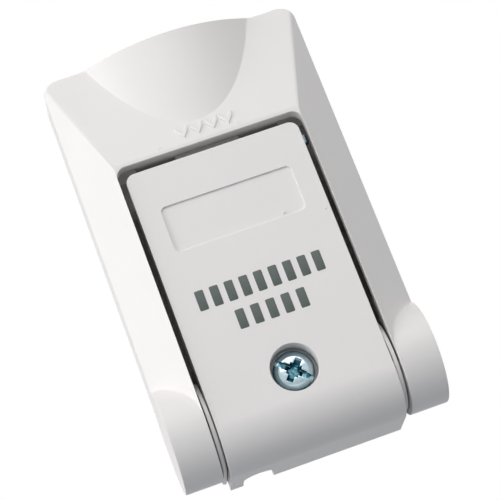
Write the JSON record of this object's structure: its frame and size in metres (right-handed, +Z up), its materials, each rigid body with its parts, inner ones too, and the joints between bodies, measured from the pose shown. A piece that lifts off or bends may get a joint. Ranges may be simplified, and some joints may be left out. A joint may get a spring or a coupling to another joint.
{
  "type": "emergency pull station",
  "caption": "Wall-mounted emergency pull station: a hinged pull lever with finger hood frames a screwed cover over a reed switch, magnet and terminals.",
  "frame": {"origin": "on the wall face of the base, midway between the two wall screw holes", "axes": "+X to the right seen from the front, +Y into the wall, +Z up towards the finger hood"},
  "size_m": [0.0516, 0.02, 0.0849],
  "materials": {
    "abs_white": "satin, fine moulded grain",
    "screw_zinc": "blue zinc plated",
    "brass": "turned",
    "pin_steel": "plain",
    "magnet_nickel": "nickel plated",
    "spring_steel": "blued strip",
    "board_green": "coated",
    "reed_glass": "clear, faint green",
    "lead_tin": "tinned",
    "block_green": "moulded"
  },
  "bodies": {
    "base": {"base_plate": "abs_white", "front_cover": "abs_white", "cover_screw": "screw_zinc", "screw_insert": "brass", "hinge_pin_right": "pin_steel", "hinge_pin_left": "pin_steel", "latch_spring": "spring_steel", "latch_spring_screw": "pin_steel", "circuit_board": "board_green", "board_screw_left": "pin_steel", "board_screw_right": "pin_steel", "reed_switch": "reed_glass", "reed_leads": "lead_tin", "terminal_block": "block_green", "terminal_cage_1": "brass", "terminal_screw_1": "pin_steel", "terminal_cage_2": "brass", "terminal_screw_2": "pin_steel", "terminal_cage_3": "brass", "terminal_screw_3": "pin_steel"},
    "lever": {"pull_lever": "abs_white", "lever_magnet": "magnet_nickel"}
  },
  "joints": [
    {"name": "lever_hinge", "type": "hinge", "parent": "base", "child": "lever", "pos_m": [0, -0.01005, -0.0307], "axis": [1, 0, 0], "range_deg": [0, 40]}
  ]
}
